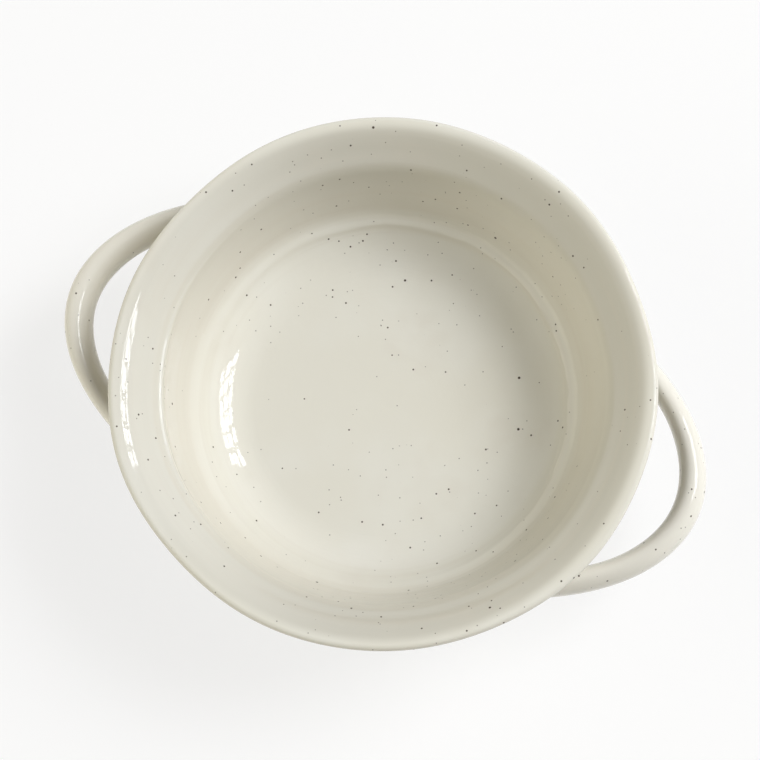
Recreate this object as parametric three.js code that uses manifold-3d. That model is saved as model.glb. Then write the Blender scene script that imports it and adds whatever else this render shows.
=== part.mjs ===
import * as THREE from "three";
import { mergeVertices } from "three/addons/utils/BufferGeometryUtils.js";
import Module from "manifold-3d";

// A wheel-thrown stoneware soup bowl with a pulled strap handle luted on at each side.
// Millimetres, +Z up. The origin is the centre of the foot ring's resting face. The handles lie along X.

const { degToRad, lerp, smoothstep } = THREE.MathUtils;

// Bowl body
const RIM_RADIUS = 82.5;
const HEIGHT = 52;
const WALL = 4.6;
const FLARE_WIDTH = 14.8;
const FLARE_ANGLE = degToRad(38.5);
const LIP_ROUND = 2.8;
const SHOULDER_ROUND = 8;
const WALL_LEAN = 7.2;
const LEDGE_WIDTH = 3.1;
const LEDGE_RISE = 2;
const LEDGE_ROUND = 1.5;
const STEP_HEIGHT = 7.8;
const STEP_LEAN = 0.8;
const WELL_FILLET = 15;
const FLOOR_THICKNESS = 7;

// Foot ring
const FOOT_INSET = 1.6;
const FOOT_WIDTH = 5;
const FOOT_RECESS = 4.5;
const FOOT_EDGE = 0.8;

// Slow waves that leave the thrown rim a little out of round: how many, how high and turned how far
const RIM_WAVES = [
  { count: 2, height: 0.25, turn: degToRad(-2) },
  { count: 3, height: 0.45, turn: degToRad(-18) },
  { count: 4, height: 0.15, turn: degToRad(13) },
  { count: 5, height: 0.15, turn: degToRad(-11) },
  { count: 7, height: 0.15, turn: degToRad(17) },
  { count: 9, height: 0.15, turn: degToRad(18) },
];

// Strap handles. Reach is measured out from the rim, drops down from its top, spread from the X axis.
// A lean tilts the top of a strap out from the bowl.
const HANDLE_REACH = 21;
const HANDLE_CROWN = 20;
const HANDLE_SKEW = -1.8;
const HANDLE_THICKNESS = 8.4;
const HANDLE_TALL = 11.5;
const HANDLE_DROP = 20.5;
const LEFT_LEAN = degToRad(20);
const RIGHT_LEAN = degToRad(-12);
const ROOT_SPREAD = 44.5;
const ROOT_DROP = 24;
const ROOT_THICKNESS = 13;
const ROOT_TALL = 17;
const ROOT_SINK = 8;
const ROOT_SWELL = 5;
const LEG_THICKNESS = 7.2;
const LEG_START = 0.5;
const LEG_LENGTH = 34;
const LEG_BOW = -3.5;
const LUTE_GAP = 0.3;

// Glaze
const GLAZE_COLOUR = 0xe0dccf;
const GLAZE_ROUGHNESS = 0.15;

// How finely round stretches are cut into flat faces
const LATHE_STEPS = 64;
const CORNER_STEPS = 5;
const LIP_STEPS = 8;
const STRAP_STEPS = 40;
const STRAP_SIDES = 16;
const MERGE_DISTANCE = 1e-4;
const CORNER_ROOM = 0.9;

const UP = new THREE.Vector3(0, 0, 1);
const wasm = await Module();
wasm.setup();

// Levels and radii of the inner face, worked inward from the rim
const floorLevel = FOOT_RECESS + FLOOR_THICKNESS;
const lipRadius = WALL / 2;
const lip = new THREE.Vector2(RIM_RADIUS - lipRadius, HEIGHT - lipRadius);
const lipTop = new THREE.Vector2(lip.x, HEIGHT);
const crest = new THREE.Vector2(lip.x - LIP_ROUND, HEIGHT);
const shoulder = new THREE.Vector2(RIM_RADIUS - FLARE_WIDTH, 0);
shoulder.y = crest.y - (crest.x - shoulder.x) * Math.tan(FLARE_ANGLE);
const ledgeOuter = new THREE.Vector2(shoulder.x - WALL_LEAN, floorLevel + STEP_HEIGHT + LEDGE_RISE);
const ledgeInner = new THREE.Vector2(ledgeOuter.x - LEDGE_WIDTH, floorLevel + STEP_HEIGHT);
const wellRadius = ledgeInner.x - STEP_LEAN;
const floorRadius = wellRadius - WELL_FILLET;
const footRadius = floorRadius - FOOT_INSET;
const wallSlope = WALL_LEAN / (shoulder.y - ledgeOuter.y);

// The point at a distance from a corner along the way to its neighbour
function along(corner, neighbour, distance) {
  return neighbour.clone().sub(corner).setLength(distance).add(corner);
}

// Draws up to a corner, rounds it off as far as its two sides have room and heads for the next point
function roundCorner(path, corner, next, round) {
  const room = CORNER_ROOM * Math.min(corner.distanceTo(path.currentPoint), corner.distanceTo(next));
  const cut = Math.min(round, room);
  const start = along(corner, path.currentPoint, cut);
  const end = along(corner, next, cut);
  path.lineTo(start.x, start.y);
  path.quadraticCurveTo(corner.x, corner.y, end.x, end.y);
}

// Carries a line on from the wall over the shoulder and the flare to the top of the lip
function flareOut(path) {
  roundCorner(path, shoulder, crest, SHOULDER_ROUND);
  roundCorner(path, crest, lipTop, LIP_ROUND);
  path.lineTo(lipTop.x, lipTop.y);
  return path.getPoints(CORNER_STEPS);
}

// Inner face from the floor's centre over the stepped ledge and up to the lip
function innerFace() {
  const path = new THREE.Path();
  path.moveTo(0, floorLevel);
  path.lineTo(floorRadius, floorLevel);
  path.quadraticCurveTo(wellRadius, floorLevel, ledgeInner.x, ledgeInner.y);
  roundCorner(path, ledgeOuter, shoulder, LEDGE_ROUND);
  return flareOut(path);
}

// The wall's plain line from the floor's edge to the lip, without the ledge
function wallLine() {
  const path = new THREE.Path();
  path.moveTo(floorRadius, floorLevel);
  const foot = ledgeOuter.x - (ledgeOuter.y - floorLevel) * wallSlope;
  path.quadraticCurveTo(foot, floorLevel, ledgeOuter.x, ledgeOuter.y);
  return flareOut(path);
}

// Moves every point of a line out of the bowl by a distance, square to the line
function movedOut(line, distance) {
  return line.map((point, i) => {
    const before = line[Math.max(i - 1, 0)];
    const after = line[Math.min(i + 1, line.length - 1)];
    const run = after.clone().sub(before).normalize();
    return new THREE.Vector2(point.x + run.y * distance, point.y - run.x * distance);
  });
}

// The rolled edge of the lip, from the inner face over the top to the outer face
function lipEdge(radius) {
  const arc = new THREE.EllipseCurve(lip.x, lip.y, radius, radius, Math.PI / 2, -Math.PI / 2, true);
  return arc.getPoints(LIP_STEPS);
}

// Underside from the wall's lower end over the foot ring to the axis
function underside() {
  const level = floorLevel - WALL;
  const inner = footRadius - FOOT_WIDTH;
  return [
    [footRadius, level],
    [footRadius, FOOT_EDGE],
    [footRadius - FOOT_EDGE, 0],
    [inner + FOOT_EDGE, 0],
    [inner, FOOT_EDGE],
    [inner, FOOT_RECESS],
    [0, FOOT_RECESS],
  ].map(([radius, height]) => new THREE.Vector2(radius, height));
}

// Keeps one vertex at each place and drops faces that have shrunk to a line
function welded(geometry) {
  geometry.deleteAttribute("normal");
  geometry.deleteAttribute("uv");
  const merged = mergeVertices(geometry, MERGE_DISTANCE);
  const faces = [];
  for (let i = 0; i < merged.index.count; i += 3) {
    const [a, b, c] = merged.index.array.subarray(i, i + 3);
    if (a !== b && b !== c && c !== a) faces.push(a, b, c);
  }
  merged.setIndex(faces);
  return merged;
}

// How far the rim lies outside a true circle at an angle
function rimWave(angle) {
  return RIM_WAVES.reduce((sum, wave) => sum + wave.height * Math.cos(wave.count * (angle - wave.turn)), 0);
}

// Turns a profile round the Z axis. The rim's waves fade out down the wall, so floor and foot stay round.
function thrown(profile) {
  const geometry = welded(new THREE.LatheGeometry(profile.reverse(), LATHE_STEPS).rotateX(Math.PI / 2));
  const position = geometry.attributes.position;
  for (let i = 0; i < position.count; i++) {
    const [x, y, z] = [position.getX(i), position.getY(i), position.getZ(i)];
    const wave = rimWave(Math.atan2(y, x)) * smoothstep(z, ledgeOuter.y, HEIGHT);
    position.setXY(i, x * (1 + wave / RIM_RADIUS), y * (1 + wave / RIM_RADIUS));
  }
  return geometry;
}

function bowlGeometry() {
  const outer = movedOut(wallLine(), WALL).reverse();
  return thrown([...innerFace(), ...lipEdge(lipRadius), ...outer, ...underside()]);
}

// Everything inside the wall's outer face and a little more, which the handle ends are cut back to
function wallPlug() {
  const outer = movedOut(wallLine(), WALL + LUTE_GAP).reverse();
  const top = new THREE.Vector2(0, HEIGHT + LUTE_GAP);
  const bottom = new THREE.Vector2(0, outer.at(-1).y);
  return thrown([top, ...lipEdge(lipRadius + LUTE_GAP), ...outer, bottom]);
}

// Where a strap leaves the outer face of the wall, sunk in so that its whole end lies inside
function rootPoint() {
  const level = HEIGHT - ROOT_DROP;
  const outside = ledgeOuter.x + (level - ledgeOuter.y) * wallSlope + WALL * Math.hypot(1, wallSlope);
  return new THREE.Vector3(Math.sqrt(outside ** 2 - ROOT_SPREAD ** 2) - ROOT_SINK, ROOT_SPREAD, level);
}

// Half of a strap's middle line, from its top to the root on one side of the X axis
function halfStrap(skew, hand) {
  const reach = RIM_RADIUS + HANDLE_REACH - HANDLE_THICKNESS / 2;
  const top = new THREE.Vector3(reach, skew, HEIGHT - HANDLE_DROP);
  const root = rootPoint();
  root.y *= hand;
  const bend = top.clone().add(new THREE.Vector3(0, hand * HANDLE_CROWN, 0));
  const leg = root.clone().add(new THREE.Vector3(LEG_LENGTH, hand * LEG_BOW, 0));
  return [top, bend, leg, root];
}

function strapLine(skew) {
  const line = new THREE.CurvePath();
  line.add(new THREE.CubicBezierCurve3(...halfStrap(skew, -1).reverse()));
  line.add(new THREE.CubicBezierCurve3(...halfStrap(skew, 1)));
  return line;
}

// One ring of points round the strap: a leaning oval that swells towards the roots
function strapRing(line, lean, step) {
  const t = step / STRAP_STEPS;
  const middle = line.getPoint(t);
  const run = line.getTangent(t);
  const outwards = Math.abs(2 * t - 1);
  const swell = outwards ** ROOT_SWELL;
  const strap = lerp(HANDLE_THICKNESS, LEG_THICKNESS, smoothstep(outwards, 0, LEG_START));
  const thick = run.clone().cross(UP).normalize().applyAxisAngle(run, lean);
  const tall = UP.clone().applyAxisAngle(run, lean);
  thick.multiplyScalar(lerp(strap, ROOT_THICKNESS, swell) / 2);
  tall.multiplyScalar(lerp(HANDLE_TALL, ROOT_TALL, swell) / 2);
  return Array.from({ length: STRAP_SIDES }, (_, side) => {
    const angle = (2 * Math.PI * side) / STRAP_SIDES;
    return middle.clone().addScaledVector(thick, Math.cos(angle)).addScaledVector(tall, Math.sin(angle));
  });
}

// A closed strap: rings joined side by side, with a fan over each end
function strapGeometry(skew, lean) {
  const line = strapLine(skew);
  const points = Array.from({ length: STRAP_STEPS + 1 }, (_, step) => strapRing(line, lean, step)).flat();
  const faces = [];
  for (let i = 0; i < STRAP_STEPS * STRAP_SIDES; i++) {
    const next = i - (i % STRAP_SIDES) + ((i + 1) % STRAP_SIDES);
    faces.push(i, i + STRAP_SIDES, next, next, i + STRAP_SIDES, next + STRAP_SIDES);
  }
  const last = STRAP_STEPS * STRAP_SIDES;
  for (let side = 1; side < STRAP_SIDES - 1; side++) {
    faces.push(0, side, side + 1, last, last + side + 1, last + side);
  }
  return new THREE.BufferGeometry().setFromPoints(points).setIndex(faces);
}

function solid(geometry) {
  const vertProperties = geometry.attributes.position.array;
  const triVerts = Uint32Array.from(geometry.index.array);
  return new wasm.Manifold(new wasm.Mesh({ numProp: 3, vertProperties, triVerts }));
}

function geometryOf(manifold) {
  const { vertProperties, triVerts } = manifold.getMesh();
  const geometry = new THREE.BufferGeometry();
  geometry.setAttribute("position", new THREE.BufferAttribute(vertProperties, 3));
  return geometry.setIndex(new THREE.BufferAttribute(triVerts, 1));
}

// A strap on the +X side, or turned half round for the -X side, with its ends cut to fit the wall
function handleGeometry(side, lean, plug) {
  const strap = strapGeometry(side * HANDLE_SKEW, lean);
  if (side < 0) strap.rotateZ(Math.PI);
  return geometryOf(solid(strap).subtract(plug));
}

function glazed(name, geometry) {
  const material = new THREE.MeshStandardMaterial({ color: GLAZE_COLOUR, roughness: GLAZE_ROUGHNESS });
  const mesh = new THREE.Mesh(geometry, material);
  mesh.name = name;
  return mesh;
}

const bowl = new THREE.Group();
bowl.add(glazed("bowl_body", bowlGeometry()));
const plug = solid(wallPlug());
bowl.add(glazed("handle_left", handleGeometry(-1, LEFT_LEAN, plug)));
bowl.add(glazed("handle_right", handleGeometry(1, RIGHT_LEAN, plug)));

export default bowl;
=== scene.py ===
import math

import bmesh
import bpy
import numpy as np
from mathutils import Matrix, Vector


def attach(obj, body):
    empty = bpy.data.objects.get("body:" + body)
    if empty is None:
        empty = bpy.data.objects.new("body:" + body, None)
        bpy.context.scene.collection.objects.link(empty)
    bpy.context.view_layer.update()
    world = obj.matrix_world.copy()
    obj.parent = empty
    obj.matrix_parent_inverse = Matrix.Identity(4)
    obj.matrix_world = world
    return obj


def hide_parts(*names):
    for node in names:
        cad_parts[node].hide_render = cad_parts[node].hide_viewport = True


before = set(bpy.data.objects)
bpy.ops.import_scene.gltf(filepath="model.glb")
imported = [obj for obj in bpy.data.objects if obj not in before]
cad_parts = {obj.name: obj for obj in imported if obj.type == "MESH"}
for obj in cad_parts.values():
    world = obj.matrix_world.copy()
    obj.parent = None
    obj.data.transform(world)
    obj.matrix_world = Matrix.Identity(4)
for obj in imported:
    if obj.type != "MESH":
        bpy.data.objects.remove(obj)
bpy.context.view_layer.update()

# A hand-thrown stoneware soup bowl with two strap handles under a glossy speckled cream glaze.
# Sizes are millimetres in the frame's axes and are turned into metres where a mesh is made.
MM = 0.001

# Bowl profile
RIM_RADIUS = 82.5
HEIGHT = 52.0
WALL = 4.6
LIP_EDGE = 1.6
LIP_UNDER_EDGE = 2.1
LIP_LEAN = 0.2
LIP_INSET = 2.3
CREST_INSET = 2.8
CREST_ROUND = 8.0
FLARE_WIDTH = 14.8
FLARE_SLOPE = math.tan(math.radians(38.5))
SHOULDER_ROUND = 8.0
WALL_LEAN = 7.2
INNER_SHOULDER = 68.4
INNER_SHOULDER_ROUND = 9.0
INNER_FLARE_SLOPE = math.tan(math.radians(40))
INNER_LIP_WIDTH = 4.5
INNER_LIP_ROUND = 8.0
INNER_LIP_SLOPE = math.tan(math.radians(8.6))
LEDGE_LEVEL = 19.3
LEDGE_RISE = 2.0
WALL_FOOT = 61.4
WALL_FOOT_RISE = 3.5
WALL_FOOT_HOLLOW = 13.0
FLOOR_LEVEL = 11.5
FLOOR_DISH = 0.6
WELL_RADIUS = 50.4
WELL_RISE = 0.4
WELL_ROUND = 22.0
BELLY_ROUND = 15.4
FLOOR_RADIUS = 41.6
FOOT_RADIUS = 40.0
FOOT_WIDTH = 5.0
FOOT_RECESS = 4.5
FOOT_ROUND = 0.9
FOOT_FILLET = 1.5

# Slow waves that leave the rim out of round: how many, how high, and turned how many degrees
RIM_WAVES = [(2, 0.25, -2), (3, 0.45, -18), (4, 0.15, 13), (5, 0.15, -11), (7, 0.15, 17), (9, 0.15, 18)]

# Throwing rings inside the bowl, by their distance down the inner face from the top of the lip
RING_PITCH = 6.3
RING_HEIGHT = 0.05
RING_PHASE = 5.2
RING_START = 2.0
RING_END = 16.0
RING_FADE = 2.0
RING_DRIFT = 0.5
RING_DRIFT_WAVES = [(1, 0.4), (2, 2.1), (3, 4.0)]
RING_STRENGTH = 0.8
RING_UNEVEN = 0.3
RING_UNEVEN_WAVES = [(1, 2.2), (2, 0.7), (5, 1.3)]

# A short crease at the top of the wall: its place, widths above and below its top, height, azimuth and fading
CREASE_DEPTH = 17.0
CREASE_ABOVE = 0.7
CREASE_BELOW = 1.7
CREASE_HEIGHT = 0.72
CREASE_AZIMUTH = 205
CREASE_FADE = 22

# The ledge round the well: a low ridge, strongest toward one azimuth in degrees
RIDGE_HEIGHT = 0.4
RIDGE_WIDTH = 1.0
RIDGE_LEAST = 0.06
RIDGE_AZIMUTH = 45
RIDGE_FADE = 4
RIDGE_WAVER = 0.25
RIDGE_WAVES = [(5, 0.3), (9, 1.9), (14, 4.4)]

# Strap handles
HANDLE_REACH = 21.0
HANDLE_CROWN = 20.0
HANDLE_SKEW = -1.8
HANDLE_THICKNESS = 8.4
HANDLE_TALL = 11.5
HANDLE_DROP = 20.5
LEFT_LEAN = 20
RIGHT_LEAN = -12
ROOT_SPREAD = 44.5
ROOT_DROP = 24.0
ROOT_THICKNESS = 13.0
ROOT_TALL = 17.0
ROOT_SINK = 8.0
ROOT_SWELL = 5
ROOT_FILLET = 2.4
ROOT_BURY = 1.2
ROOT_SEARCH = 0.5
LEG_THICKNESS = 7.2
LEG_START = 0.5
LEG_LENGTH = 34.0
LEG_BOW = -3.5

# Glaze: linear colours; the flare, ledge and handle colours hold painted shade, highlight and light
GLAZE_CREAM = (0.75, 0.73, 0.645, 1)
GLAZE_PALE = (0.77, 0.755, 0.68, 1)
GLAZE_THIN = (0.69, 0.662, 0.58, 1)
GLAZE_BUFF = (0.65, 0.6, 0.51, 1)
# Thin glaze on the flare, darkened further by painted shade on the side away from the window
FLARE_THIN_AND_SHADE = (0.59, 0.57, 0.495, 1)
# Pale pooled glaze on the ledge, with a painted highlight where the ledge catches light on one side
POOL_AND_HIGHLIGHT = (0.83, 0.81, 0.73, 1)
# Painted light: a paler handle colour standing in for light that the rim keeps off the handles
HANDLE_PAINTED_LIGHT = (0.79, 0.765, 0.685, 1)
BARE_CLAY = (0.5, 0.4, 0.29, 1)
SPECK_BROWN = (0.07, 0.05, 0.035, 1)

# Where the glaze differs and where shade and light are painted into it: patches in millimetres, edges of
# bands, and sides as azimuth and two distances
PALE_PATCH = 34
PALE_RANGE = (0.4, 0.7)
BUFF_PATCH = 21
BUFF_DETAIL = 3.0
BUFF_RANGE = (0.55, 0.8, 0, 0.25)
THIN_FACING = (0.85, 0.3)
# The flare's thin glaze and painted shade: radii of the band, the shaded side, and the least share on the lit
# side
FLARE_BAND = (62, 71, 77.5, 81)
FLARE_SHADE_SIDE = (20, -60, -10)
FLARE_LEAST = 0.45
# The ledge's pooled glaze and painted highlight: heights of the band, the side it is on, and its wavering
# edge
POOL_HIGHLIGHT_BAND = (19.1, 19.7, 21.2, 22.4)
POOL_HIGHLIGHT_SIDE = (35, -15, 45)
POOL_HIGHLIGHT_PATCH = 9
POOL_HIGHLIGHT_WAVER = 1.6
# Where the handles' painted light lies: radii as shares of the rim's radius
HANDLE_LIGHT_ZONE = (0.9, 1.05)
STREAK_WIDTH = 2.4
STREAK_DETAIL = 3.0
STREAK_RANGE = (0.45, 0.75)
STREAK_SHARE = 0.25
STREAK_FACING = (0.97, 0.75)

# Glaze surface: roughness from and to, a fine grain in millimetres and the potter's finger lines
GLAZE_IOR = 1.5
GLAZE_ROUGHNESS = (0.02, 0.05)
ROUGH_PATCH = 15
ROUGH_RANGE = (0.3, 0.7)
CLAY_ROUGHNESS = 0.85
GLAZE_GRAIN = 3.0
GLAZE_BUMP = 0.012
THROWING_LINE = 0.018
THROWING_WIDTH = 1.0
THROWING_DETAIL = 1.0
THROWING_STRETCH = 1.2

# Iron specks: cell size and speck radius in millimetres, share of cells that hold one, and strength
SPECK_LAYERS = [(4.2, 0.37, 0.7, 0.95), (10.7, 0.5, 0.8, 1.0), (3.0, 0.25, 0.7, 0.65)]
SPECK_SOFT = 0.7
SPECK_CROWD = (0.25, 1.4)
CROWD_PATCH = 45
CROWD_RANGE = (0.4, 0.6)

# How finely the meshes are divided
TURN_STEPS = 216
LINE_STEP = 0.7
ARC_STEP = 0.35
STRAP_STEPS = 160
STRAP_SIDES = 48

# Camera: degrees, millimetres, and the photograph's focal length over its width
CAMERA_AZIMUTH = 27.5
CAMERA_ELEVATION = 77.0
CAMERA_ROLL = -7.5
CAMERA_DISTANCE = 650.0
CAMERA_AIM = 50.0
CAMERA_ASIDE = (-0.69, -0.57)
FOCAL_WIDTHS = 2159 / 760
SENSOR_WIDTH = 36

# Window that lights the bowl: where it stands, its size in metres, panes and brightness
WINDOW_AZIMUTH = 40.5
WINDOW_ELEVATION = 44
WINDOW_DISTANCE = 1.5
WINDOW_WIDTH = 0.78
WINDOW_HEIGHT = 0.62
WINDOW_COLUMNS = 6
WINDOW_ROWS = 3
WINDOW_BARS = (0.026, 0.038)
WINDOW_RADIANCE = 9.0
WINDOW_COLOUR = (0.97, 1, 1.05)

# Soft light from the sky: an even part, and lobes by azimuth, elevation, strength, narrowness and colour
SKY_EVEN = 0.03
SKY_LOBES = [
    (40.5, 45, 7.1, 40, (0.98, 1, 1.03)),
    (40, 36, 1.6, 8, (1.04, 1, 0.95)),
    (203, 12, 3.8, 9, (1.04, 1, 0.85)),
    (290, 35, 0.6, 8, (1.05, 1, 0.85)),
]

# Floor: metres, its share of plain white where it is seen, and its colour
FLOOR_SIZE = 6.0
FLOOR_WHITE = 0.75
FLOOR_DROP = 0.0002
FLOOR_COLOUR = (0.9, 0.9, 0.9, 1)


def unit(vector):
    return vector / np.linalg.norm(vector)


def direction(azimuth, elevation):
    a, e = math.radians(azimuth), math.radians(elevation)
    return Vector((math.cos(a) * math.cos(e), math.sin(a) * math.cos(e), math.sin(e)))


def smoothstep(value, low, high):
    share = np.clip((value - low) / (high - low), 0, 1)
    return share * share * (3 - 2 * share)


def straight(start, end):
    steps = max(1, math.ceil(np.linalg.norm(end - start) / LINE_STEP))
    return [start + (end - start) * i / steps for i in range(steps)]


def arc(centre, start, end, radius):
    """Points on the short way round from start up to end."""
    angle = math.acos(np.clip(unit(start - centre) @ unit(end - centre), -1, 1))
    steps = max(2, math.ceil(angle * radius / ARC_STEP))
    points = []
    for i in range(steps):
        share = i / steps
        toward = math.sin((1 - share) * angle) * (start - centre) + math.sin(share * angle) * (end - centre)
        points.append(centre + toward / math.sin(angle))
    return points


def rounded(corners):
    """A finely divided line through corners, each given as radius, height and how far it is rounded."""
    places = [np.array(corner[:2], float) for corner in corners]
    line = []
    last = places[0]
    for before, place, after, corner in zip(places, places[1:], places[2:], corners[1:]):
        back, on = unit(before - place), unit(after - place)
        half = math.acos(np.clip(back @ on, -1, 1)) / 2
        cut = corner[2] / math.tan(half)
        centre = place + unit(back + on) * corner[2] / math.sin(half)
        line += straight(last, place + back * cut)
        last = place + on * cut
        line += arc(centre, place + back * cut, last, corner[2])
    line += straight(last, places[-1])
    return np.array(line + [places[-1]])


def normals(line):
    run = np.gradient(line, axis=0)
    run /= np.linalg.norm(run, axis=1)[:, None]
    return np.stack([-run[:, 1], run[:, 0]], 1)


lip_end = (RIM_RADIUS - LIP_INSET, HEIGHT)
crest = (lip_end[0] - CREST_INSET, HEIGHT, CREST_ROUND)
shoulder_radius = RIM_RADIUS - FLARE_WIDTH
shoulder = (shoulder_radius, HEIGHT - (crest[0] - shoulder_radius) * FLARE_SLOPE, SHOULDER_ROUND)
ledge_outer = (shoulder_radius - WALL_LEAN, LEDGE_LEVEL + LEDGE_RISE)
wall_slope = WALL_LEAN / (shoulder[1] - ledge_outer[1])


def inner_line():
    """From the middle of the floor over the ledge, the flare and the lip's edge to the lip's underside."""
    lip_top = HEIGHT + LIP_EDGE * INNER_LIP_SLOPE / 2
    lip_foot = (RIM_RADIUS - INNER_LIP_WIDTH, lip_top - INNER_LIP_WIDTH * INNER_LIP_SLOPE, INNER_LIP_ROUND)
    flare_rise = (lip_foot[0] - INNER_SHOULDER) * INNER_FLARE_SLOPE
    return rounded([
        (0, FLOOR_LEVEL - FLOOR_DISH),
        (WELL_RADIUS, FLOOR_LEVEL + WELL_RISE, WELL_ROUND),
        (WALL_FOOT, LEDGE_LEVEL + WALL_FOOT_RISE, WALL_FOOT_HOLLOW),
        (INNER_SHOULDER, lip_foot[1] - flare_rise, INNER_SHOULDER_ROUND),
        lip_foot,
        (RIM_RADIUS, lip_top, LIP_EDGE),
        (RIM_RADIUS - LIP_LEAN, HEIGHT - WALL, LIP_UNDER_EDGE),
        (lip_end[0], HEIGHT - WALL),
    ])


def outer_line():
    """The outer face from the foot up to the lip's underside: the plain wall line moved out by the wall."""
    belly = (ledge_outer[0] - (ledge_outer[1] - FLOOR_LEVEL) * wall_slope, FLOOR_LEVEL, BELLY_ROUND)
    line = rounded([(FLOOR_RADIUS, FLOOR_LEVEL), belly, shoulder, crest, lip_end])
    return line - normals(line) * WALL


def foot_line():
    """From under the wall over the foot ring to the middle of its recess."""
    level = FLOOR_LEVEL - WALL
    inside = FOOT_RADIUS - FOOT_WIDTH
    return rounded([
        (FLOOR_RADIUS, level),
        (FOOT_RADIUS, level, FOOT_FILLET / 2),
        (FOOT_RADIUS, 0, FOOT_ROUND),
        (inside, 0, FOOT_ROUND),
        (inside, FOOT_RECESS, FOOT_FILLET),
        (0, FOOT_RECESS),
    ])


def sway(angle, waves):
    """A slow uneven curve round the bowl, about -1 to 1, from pairs of a count and a turn in radians."""
    return sum(np.cos(count * angle + turn) for count, turn in waves) / math.sqrt(len(waves))


def rim_wave(angle):
    return sum(height * np.cos(count * (angle - math.radians(turn))) for count, height, turn in RIM_WAVES)


def ring_relief(depth, angle):
    """How far the throwing rings stand out of the inner face at a distance down from the lip."""
    drift = RING_DRIFT * sway(angle, RING_DRIFT_WAVES)
    strength = RING_STRENGTH + RING_UNEVEN * sway(angle, RING_UNEVEN_WAVES)
    within = smoothstep(depth, RING_START, RING_START + RING_FADE)
    within = within * (1 - smoothstep(depth, RING_END - RING_FADE, RING_END))
    return RING_HEIGHT * strength * within * np.sin(2 * math.pi * (depth - RING_PHASE - drift) / RING_PITCH)


def crease_relief(depth, angle):
    """How far the crease at the top of the wall stands out of the inner face."""
    strength = np.cos((angle - math.radians(CREASE_AZIMUTH)) / 2) ** CREASE_FADE
    width = CREASE_ABOVE if depth < CREASE_DEPTH else CREASE_BELOW
    return CREASE_HEIGHT * strength * np.exp(-(((depth - CREASE_DEPTH) / width) ** 2))


def ridge_relief(height, angle):
    """How far the ledge round the well stands out of the inner face at a height."""
    level = LEDGE_LEVEL + RIDGE_WAVER * sway(angle, RIDGE_WAVES)
    toward = np.cos((angle - math.radians(RIDGE_AZIMUTH)) / 2) ** RIDGE_FADE
    strength = RIDGE_LEAST + (1 - RIDGE_LEAST) * toward
    return RIDGE_HEIGHT * strength * np.exp(-(((height - level) / RIDGE_WIDTH) ** 2))


def bowl_rings():
    profile = np.concatenate([inner_line(), outer_line()[::-1][1:], foot_line()[1:]])
    length = np.concatenate([[0], np.cumsum(np.linalg.norm(np.diff(profile, axis=0), axis=1))])
    depth = length[np.argmax(profile[:, 1])] - length
    square = normals(profile)
    rings = []
    angles = np.arange(TURN_STEPS) * 2 * math.pi / TURN_STEPS
    for place, away, far in zip(profile, square, depth):
        relief = ring_relief(far, angles) + crease_relief(far, angles) + ridge_relief(place[1], angles)
        relief *= far >= 0
        radius = place[0] + away[0] * relief
        height = place[1] + away[1] * relief
        radius = radius * (1 + rim_wave(angles) * smoothstep(height, ledge_outer[1], HEIGHT) / RIM_RADIUS)
        rings.append(np.stack([radius * np.cos(angles), radius * np.sin(angles), height], 1))
    return np.array(rings)


def skin(name, rings, first_tip, last_tip):
    """A closed smooth mesh over rings of points, with a fan to a tip at each end."""
    count, sides = rings.shape[:2]
    points = np.concatenate([rings.reshape(-1, 3), [first_tip, last_tip]]) * MM
    faces = []
    for ring in range(count - 1):
        for side in range(sides):
            a, b = ring * sides + side, ring * sides + (side + 1) % sides
            faces.append((a, b, b + sides, a + sides))
    first, last, end = count * sides, count * sides + 1, (count - 1) * sides
    for side in range(sides):
        faces.append((first, (side + 1) % sides, side))
        faces.append((last, end + side, end + (side + 1) % sides))
    mesh = bpy.data.meshes.new(name)
    mesh.from_pydata(points.tolist(), [], faces)
    work = bmesh.new()
    work.from_mesh(mesh)
    bmesh.ops.recalc_face_normals(work, faces=work.faces)
    work.to_mesh(mesh)
    work.free()
    mesh.shade_smooth()
    piece = bpy.data.objects.new(name, mesh)
    bpy.context.scene.collection.objects.link(piece)
    return piece


def make_bowl():
    rings = bowl_rings()
    return skin("glazed_bowl", rings[1:-1], rings[0].mean(0), rings[-1].mean(0))


wall_outside = outer_line()


def wall_distance(points):
    """How far points lie outside the wall's outer face, near enough for the handle roots."""
    angle = np.arctan2(points[..., 1], points[..., 0])
    height = points[..., 2]
    wave = rim_wave(angle) * smoothstep(height, ledge_outer[1], HEIGHT) / RIM_RADIUS
    radius = np.interp(height, wall_outside[:, 1], wall_outside[:, 0]) * (1 + wave)
    return (np.hypot(points[..., 0], points[..., 1]) - radius) / math.hypot(1, wall_slope)


def half_strap(skew, hand):
    """The four curve points of half a strap's middle line, from its top to the root on one side."""
    level = HEIGHT - ROOT_DROP
    outside = ledge_outer[0] + (level - ledge_outer[1]) * wall_slope + WALL * math.hypot(1, wall_slope)
    top = np.array([RIM_RADIUS + HANDLE_REACH - HANDLE_THICKNESS / 2, skew, HEIGHT - HANDLE_DROP])
    root = np.array([math.sqrt(outside**2 - ROOT_SPREAD**2) - ROOT_SINK, hand * ROOT_SPREAD, level])
    bend = top + np.array([0, hand * HANDLE_CROWN, 0])
    leg = root + np.array([LEG_LENGTH, hand * LEG_BOW, 0])
    return top, bend, leg, root


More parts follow.
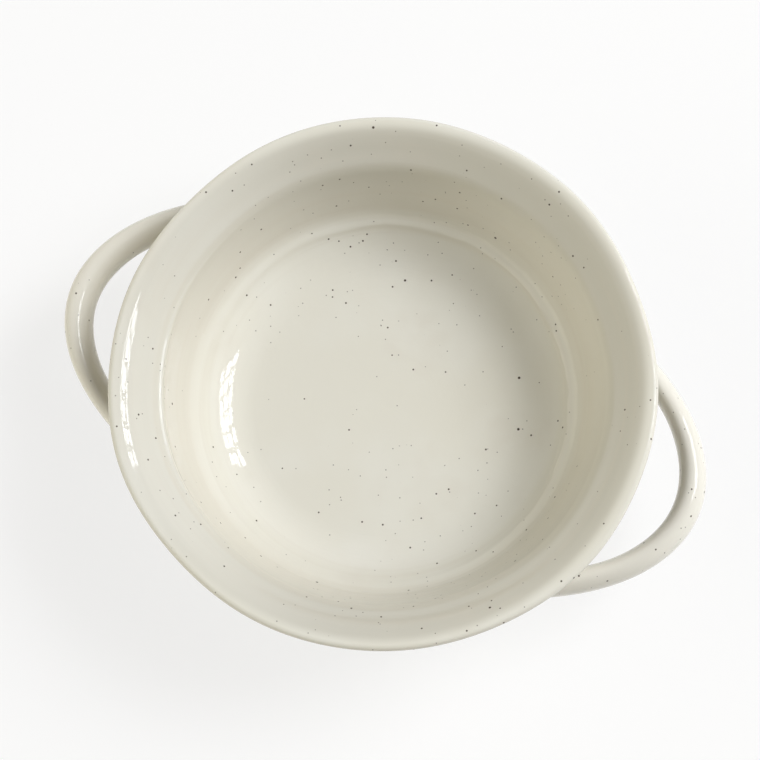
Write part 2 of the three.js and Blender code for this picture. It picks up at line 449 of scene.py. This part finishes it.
def strap_line(skew):
    """Fine points along a strap's middle line, with places from -1 at one root to 1 at the other."""
    t = np.linspace(0, 1, STRAP_STEPS)[:, None]
    halves = []
    for hand in (-1, 1):
        a, b, c, d = half_strap(skew, hand)
        halves.append((1 - t) ** 3 * a + 3 * t * (1 - t) ** 2 * b + 3 * t**2 * (1 - t) * c + t**3 * d)
    line = np.concatenate([halves[0][:0:-1], halves[1]])
    length = np.concatenate([[0], np.cumsum(np.linalg.norm(np.diff(line, axis=0), axis=1))])
    return 2 * length / length[-1] - 1, line


def looked_up(place, places, values):
    return np.stack([np.interp(place, places, column) for column in values.T], -1)


def turned(vectors, axes, angle):
    """Vectors turned about unit axes."""
    along = np.sum(vectors * axes, -1)[..., None]
    across = np.cross(axes, vectors)
    return vectors * math.cos(angle) + across * math.sin(angle) + axes * along * (1 - math.cos(angle))


def strap_surface(skew, lean, place, turn):
    """Points of the strap's skin at places along it and angles round it, and the middle line beside them."""
    places, line = strap_line(skew)
    middle = looked_up(place, places, line)
    run = looked_up(place, places, np.gradient(line, axis=0))
    run /= np.linalg.norm(run, axis=-1)[..., None]
    up = np.zeros_like(run)
    up[..., 2] = 1
    side = np.cross(run, up)
    side /= np.linalg.norm(side, axis=-1)[..., None]
    out = np.abs(place)
    swell = out**ROOT_SWELL
    strap = HANDLE_THICKNESS + (LEG_THICKNESS - HANDLE_THICKNESS) * smoothstep(out, 0, LEG_START)
    thick = strap + (ROOT_THICKNESS - strap) * swell
    tall = HANDLE_TALL + (ROOT_TALL - HANDLE_TALL) * swell
    skin_points = middle + turned(side, run, lean) * (np.cos(turn) * thick / 2)[..., None]
    skin_points += turned(up, run, lean) * (np.sin(turn) * tall / 2)[..., None]
    return skin_points, middle


def strap_ends(skew, lean, turn, hand):
    """Where each line along the strap has sunk into the wall, at the root on one side."""
    place = np.linspace(hand * ROOT_SEARCH, hand, STRAP_STEPS)[:, None] * np.ones_like(turn)
    points, _ = strap_surface(skew, lean, place, np.broadcast_to(turn, place.shape))
    depth = -wall_distance(points)
    return np.array([np.interp(ROOT_BURY, depth[:, i], place[:, i]) for i in range(len(turn))])


def flared(points, middle):
    """Points pushed out along the wall close to it, so the strap runs into it in a fillet."""
    near = np.clip(1 - wall_distance(points) / ROOT_FILLET, 0, 1)
    outward = points - middle
    radial = points * np.array([1, 1, 0])
    radial /= np.linalg.norm(radial, axis=-1)[..., None]
    outward -= radial * np.sum(outward * radial, -1)[..., None]
    outward /= np.linalg.norm(outward, axis=-1)[..., None]
    return points + outward * (ROOT_FILLET * (1 - np.sqrt(1 - near**2)))[..., None]


def make_handle(name, side, lean):
    skew, tilt = side * HANDLE_SKEW, math.radians(lean)
    turn = np.arange(STRAP_SIDES) * 2 * math.pi / STRAP_SIDES
    low, high = strap_ends(skew, tilt, turn, -1), strap_ends(skew, tilt, turn, 1)
    share = np.linspace(0, 1, STRAP_STEPS + 1)[:, None]
    place = low + (high - low) * share
    points, middle = strap_surface(skew, tilt, place, np.broadcast_to(turn, place.shape))
    rings = flared(points, middle) * np.array([side, side, 1])
    return skin(name, rings, rings[0].mean(0), rings[-1].mean(0))


def add(tree, kind, settings=None, **inputs):
    """A new node, with its settings, and its sockets set or linked by name or, as _0, by number."""
    made = tree.nodes.new("ShaderNode" + kind)
    for name, value in (settings or {}).items():
        setattr(made, name, value)
    for name, value in inputs.items():
        socket = made.inputs[int(name[1:]) if name[0] == "_" else name.replace("_", " ")]
        if isinstance(value, bpy.types.NodeSocket):
            tree.links.new(value, socket)
        else:
            socket.default_value = value
    return made


def blend(tree, share, first, second):
    return add(tree, "Mix", {"data_type": "RGBA"}, _0=share, _6=first, _7=second).outputs[2]


def ramp(tree, value, low, high, start=0.0, end=1.0):
    """A value spread smoothly from one range to another and held at its ends."""
    settings = {"interpolation_type": "SMOOTHSTEP"}
    return add(tree, "MapRange", settings, _0=value, _1=low, _2=high, _3=start, _4=end).outputs[0]


def noise(tree, place, size, detail=2.0):
    """Soft noise whose patches are about the given size in millimetres."""
    return add(tree, "TexNoise", Vector=place, Scale=1 / (size * MM), Detail=detail).outputs["Fac"]


def multiply(tree, first, second):
    return add(tree, "Math", {"operation": "MULTIPLY"}, _0=first, _1=second).outputs[0]


def specks(tree, place, size, radius, share):
    """Round specks, one to a cell of a size in millimetres, in a share of the cells that varies slowly."""
    cells = add(tree, "TexVoronoi", Vector=place, Scale=1 / (size * MM))
    dot = ramp(tree, cells.outputs["Distance"], radius / size, SPECK_SOFT * radius / size)
    chance = add(tree, "SeparateColor", Color=cells.outputs["Color"]).outputs[0]
    crowd = ramp(tree, noise(tree, place, CROWD_PATCH), *CROWD_RANGE, *SPECK_CROWD)
    crowd = multiply(tree, crowd, share)
    few = add(tree, "Math", {"operation": "LESS_THAN"}, _0=chance, _1=crowd).outputs[0]
    return multiply(tree, dot, few)


def axis_distance(tree, place):
    """How far a point is from the bowl's axis."""
    x, y, _ = add(tree, "SeparateXYZ", Vector=place).outputs
    flat = add(tree, "CombineXYZ", X=x, Y=y).outputs[0]
    return add(tree, "VectorMath", {"operation": "LENGTH"}, _0=flat).outputs["Value"]


def throwing_place(tree, place):
    """Coordinates that run fast across the potter's finger lines and slowly along them."""
    x, y, z = add(tree, "SeparateXYZ", Vector=place).outputs
    turn = add(tree, "Math", {"operation": "ARCTAN2"}, _0=y, _1=x).outputs[0]
    slow = multiply(tree, turn, THROWING_STRETCH * MM)
    return add(tree, "CombineXYZ", X=axis_distance(tree, place), Y=slow, Z=z).outputs[0]


def band(tree, value, edges):
    """A mask that rises between the first two edges, in millimetres, and falls between the last two."""
    low, inner, outer, high = (edge * MM for edge in edges)
    return multiply(tree, ramp(tree, value, low, inner), ramp(tree, value, high, outer))


def toward_side(tree, place, side, least=0.0):
    """A mask that grows across the bowl toward an azimuth, between two distances in millimetres."""
    azimuth, none, full = side
    settings = {"operation": "DOT_PRODUCT"}
    along = add(tree, "VectorMath", settings, _0=place, _1=direction(azimuth, 0)).outputs["Value"]
    return ramp(tree, along, none * MM, full * MM, least, 1)


def flare_thin_and_shade(tree, place):
    """A mask of the flared band below the lip: thin glaze all round, with painted shade added on the side
    away from the window and fading toward the lit side.
    """
    ring = band(tree, axis_distance(tree, place), FLARE_BAND)
    return multiply(tree, ring, toward_side(tree, place, FLARE_SHADE_SIDE, FLARE_LEAST))


def ledge_pool_and_highlight(tree, place):
    """A mask of the ledge round the well on one side, where pooled glaze and a painted highlight make it
    paler.
    """
    height = add(tree, "SeparateXYZ", Vector=place).outputs["Z"]
    waver = multiply(tree, noise(tree, place, POOL_HIGHLIGHT_PATCH), POOL_HIGHLIGHT_WAVER * MM)
    level = add(tree, "Math", {"operation": "SUBTRACT"}, _0=height, _1=waver)
    level = add(tree, "Math", {"operation": "ADD"}, _0=level.outputs[0], _1=POOL_HIGHLIGHT_WAVER * MM / 2).outputs[0]
    inside = ramp(tree, axis_distance(tree, place), (WALL_FOOT + WALL / 2) * MM, WALL_FOOT * MM)
    ledge = multiply(tree, band(tree, level, POOL_HIGHLIGHT_BAND), inside)
    return multiply(tree, ledge, toward_side(tree, place, POOL_HIGHLIGHT_SIDE))


def streaks(tree, place, facing):
    """A mask of faint streaks along the throwing lines, on the faces that slope."""
    lines = noise(tree, throwing_place(tree, place), STREAK_WIDTH, STREAK_DETAIL)
    faint = ramp(tree, lines, *STREAK_RANGE, 0, STREAK_SHARE)
    return multiply(tree, faint, ramp(tree, facing, *STREAK_FACING))


def handle_painted_light(tree, place):
    """A mask of the handles, where painted light makes the glaze paler, standing in for light that the rim
    keeps off them.
    """
    height = add(tree, "SeparateXYZ", Vector=place).outputs["Z"]
    low = ramp(tree, height, HEIGHT * MM, (HEIGHT - 2 * WALL) * MM)
    inner, outer = (share * RIM_RADIUS * MM for share in HANDLE_LIGHT_ZONE)
    return multiply(tree, low, ramp(tree, axis_distance(tree, place), inner, outer))


def bare_foot(tree, place):
    """A mask of the foot ring's resting face, which is left without glaze."""
    height = add(tree, "SeparateXYZ", Vector=place).outputs["Z"]
    return ramp(tree, height, FOOT_ROUND * MM, FOOT_ROUND * MM / 2)


def glaze_colour(tree, place):
    """The glaze's colour: cream or thin in places, streaked and specked, with thin glaze and painted shade on
    the flare, pooled glaze and a painted highlight on the ledge, and painted light on the handles.
    """
    colour = blend(tree, ramp(tree, noise(tree, place, PALE_PATCH), *PALE_RANGE), GLAZE_CREAM, GLAZE_PALE)
    normal = add(tree, "NewGeometry").outputs["Normal"]
    facing = add(tree, "SeparateXYZ", Vector=normal).outputs["Z"]
    colour = blend(tree, ramp(tree, facing, *THIN_FACING), colour, GLAZE_THIN)
    # Thin glaze on the flare, with painted shade on the side away from the window
    colour = blend(tree, flare_thin_and_shade(tree, place), colour, FLARE_THIN_AND_SHADE)
    # Pooled glaze and a painted highlight on one side of the ledge
    colour = blend(tree, ledge_pool_and_highlight(tree, place), colour, POOL_AND_HIGHLIGHT)
    patches = noise(tree, place, BUFF_PATCH, BUFF_DETAIL)
    colour = blend(tree, ramp(tree, patches, *BUFF_RANGE), colour, GLAZE_BUFF)
    colour = blend(tree, streaks(tree, place, facing), colour, GLAZE_BUFF)
    # Painted light on the handles
    colour = blend(tree, handle_painted_light(tree, place), colour, HANDLE_PAINTED_LIGHT)
    for size, radius, share, strength in SPECK_LAYERS:
        dots = multiply(tree, specks(tree, place, size, radius, share), strength)
        colour = blend(tree, dots, colour, SPECK_BROWN)
    return colour


def glaze_bump(tree, place):
    """A fine grain with the potter's finger lines over it."""
    height = noise(tree, place, GLAZE_GRAIN)
    grain = add(tree, "Bump", Height=height, Strength=GLAZE_BUMP, Distance=GLAZE_GRAIN * MM).outputs[0]
    lines = noise(tree, throwing_place(tree, place), THROWING_WIDTH, THROWING_DETAIL)
    return add(tree, "Bump", Height=lines, Strength=1.0, Distance=THROWING_LINE * MM, Normal=grain).outputs[0]


def glaze():
    material = bpy.data.materials.new("speckled_cream_glaze")
    material.use_nodes = True
    tree = material.node_tree
    shader = tree.nodes["Principled BSDF"]
    place = add(tree, "TexCoord").outputs["Object"]
    bare = bare_foot(tree, place)
    colour = blend(tree, bare, glaze_colour(tree, place), BARE_CLAY)
    smooth = ramp(tree, noise(tree, place, ROUGH_PATCH), *ROUGH_RANGE, *GLAZE_ROUGHNESS)
    rough = add(tree, "Mix", _0=bare, _2=smooth, _3=CLAY_ROUGHNESS).outputs[0]
    tree.links.new(colour, shader.inputs["Base Color"])
    tree.links.new(rough, shader.inputs["Roughness"])
    tree.links.new(glaze_bump(tree, place), shader.inputs["Normal"])
    shader.inputs["IOR"].default_value = GLAZE_IOR
    return material


def camera_axes():
    azimuth, elevation, roll = map(math.radians, (CAMERA_AZIMUTH, CAMERA_ELEVATION, CAMERA_ROLL))
    flat = math.cos(elevation)
    back = Vector((math.sin(azimuth) * flat, -math.cos(azimuth) * flat, math.sin(elevation)))
    right = Vector((math.cos(azimuth), math.sin(azimuth), 0))
    up = back.cross(right)
    across = right * math.cos(roll) + up * math.sin(roll)
    return across, back.cross(across), back


def make_camera():
    across, up, back = camera_axes()
    aim = Vector((0, 0, CAMERA_AIM)) + across * CAMERA_ASIDE[0] + up * CAMERA_ASIDE[1]
    data = bpy.data.cameras.new("camera")
    data.sensor_width = SENSOR_WIDTH
    data.lens = data.sensor_width * FOCAL_WIDTHS
    camera = bpy.data.objects.new("camera", data)
    turn = Matrix((across, up, back)).transposed().to_4x4()
    camera.matrix_world = Matrix.Translation((aim + back * CAMERA_DISTANCE) * MM) @ turn
    bpy.context.scene.collection.objects.link(camera)
    bpy.context.scene.camera = camera


def make_pane(place, turn, width, height):
    data = bpy.data.lights.new("pane", "AREA")
    data.shape = "RECTANGLE"
    data.size = width
    data.size_y = height
    data.energy = WINDOW_RADIANCE * math.pi * data.size * data.size_y
    data.color = WINDOW_COLOUR
    pane = bpy.data.objects.new("pane", data)
    pane.matrix_world = Matrix.Translation(place) @ turn
    bpy.context.scene.collection.objects.link(pane)


def make_window():
    """Panes of light with dark bars between them, facing the bowl."""
    away = direction(WINDOW_AZIMUTH, WINDOW_ELEVATION)
    across = direction(WINDOW_AZIMUTH + 90, 0)
    up = away.cross(across)
    turn = Matrix((across, up, away)).transposed().to_4x4()
    wide, tall = WINDOW_WIDTH / WINDOW_COLUMNS, WINDOW_HEIGHT / WINDOW_ROWS
    for column in range(WINDOW_COLUMNS):
        for row in range(WINDOW_ROWS):
            place = away * WINDOW_DISTANCE
            place += across * wide * (column - (WINDOW_COLUMNS - 1) / 2)
            place += up * tall * (row - (WINDOW_ROWS - 1) / 2)
            make_pane(place, turn, wide - WINDOW_BARS[0], tall - WINDOW_BARS[1])


def seen_directly(tree):
    """A node output that is 1 where the camera sees a surface itself, in a mirror or through glass."""
    path = add(tree, "LightPath").outputs
    total = path["Is Camera Ray"]
    for name in ("Is Glossy Ray", "Is Transmission Ray"):
        total = add(tree, "Math", {"operation": "MAXIMUM"}, _0=total, _1=path[name]).outputs[0]
    return total


def pale_floor():
    material = bpy.data.materials.new("pale_floor")
    material.use_nodes = True
    tree = material.node_tree
    shader = tree.nodes["Principled BSDF"]
    shader.inputs["Base Color"].default_value = FLOOR_COLOUR
    shader.inputs["Roughness"].default_value = 1
    shader.inputs["Specular IOR Level"].default_value = 0
    white = add(tree, "Emission").outputs[0]
    share = multiply(tree, seen_directly(tree), FLOOR_WHITE)
    mix = add(tree, "MixShader", _0=share, _1=shader.outputs[0], _2=white)
    tree.links.new(mix.outputs[0], tree.nodes["Material Output"].inputs["Surface"])
    return material


def make_floor():
    mesh = bpy.data.meshes.new("floor")
    half = FLOOR_SIZE / 2
    corners = [(x * half, y * half, -FLOOR_DROP) for x, y in ((-1, -1), (1, -1), (1, 1), (-1, 1))]
    mesh.from_pydata(corners, [], [(0, 1, 2, 3)])
    mesh.materials.append(pale_floor())
    floor = bpy.data.objects.new("floor", mesh)
    bpy.context.scene.collection.objects.link(floor)


def make_world():
    """Soft light from several sides, with a plain white background where it is seen."""
    world = bpy.data.worlds.new("studio")
    bpy.context.scene.world = world
    world.use_nodes = True
    tree = world.node_tree
    toward = add(tree, "TexCoord").outputs["Generated"]
    light = add(tree, "Background", Color=(1, 1, 1, 1), Strength=SKY_EVEN).outputs[0]
    for azimuth, elevation, strength, narrow, colour in SKY_LOBES:
        axis = direction(azimuth, elevation)
        facing = add(tree, "VectorMath", {"operation": "DOT_PRODUCT"}, _0=toward, _1=axis).outputs["Value"]
        front = add(tree, "Math", {"operation": "MAXIMUM"}, _0=facing, _1=0.0).outputs[0]
        focus = add(tree, "Math", {"operation": "POWER"}, _0=front, _1=narrow).outputs[0]
        glow = multiply(tree, focus, strength)
        lobe = add(tree, "Background", Color=(*colour, 1), Strength=glow).outputs[0]
        light = add(tree, "AddShader", _0=light, _1=lobe).outputs[0]
    white = add(tree, "Background", Color=(1, 1, 1, 1)).outputs[0]
    mix = add(tree, "MixShader", _0=seen_directly(tree), _1=light, _2=white)
    tree.links.new(mix.outputs[0], tree.nodes["World Output"].inputs["Surface"])


make_camera()
make_window()
make_floor()
make_world()
bpy.context.scene.view_settings.view_transform = "Standard"

cream = glaze()
for piece, node in (
    (make_bowl(), "bowl_body"),
    (make_handle("glazed_handle_left", -1, LEFT_LEAN), "handle_left"),
    (make_handle("glazed_handle_right", 1, RIGHT_LEAN), "handle_right"),
):
    piece.data.materials.append(cream)
    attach(piece, "root")
    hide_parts(node)
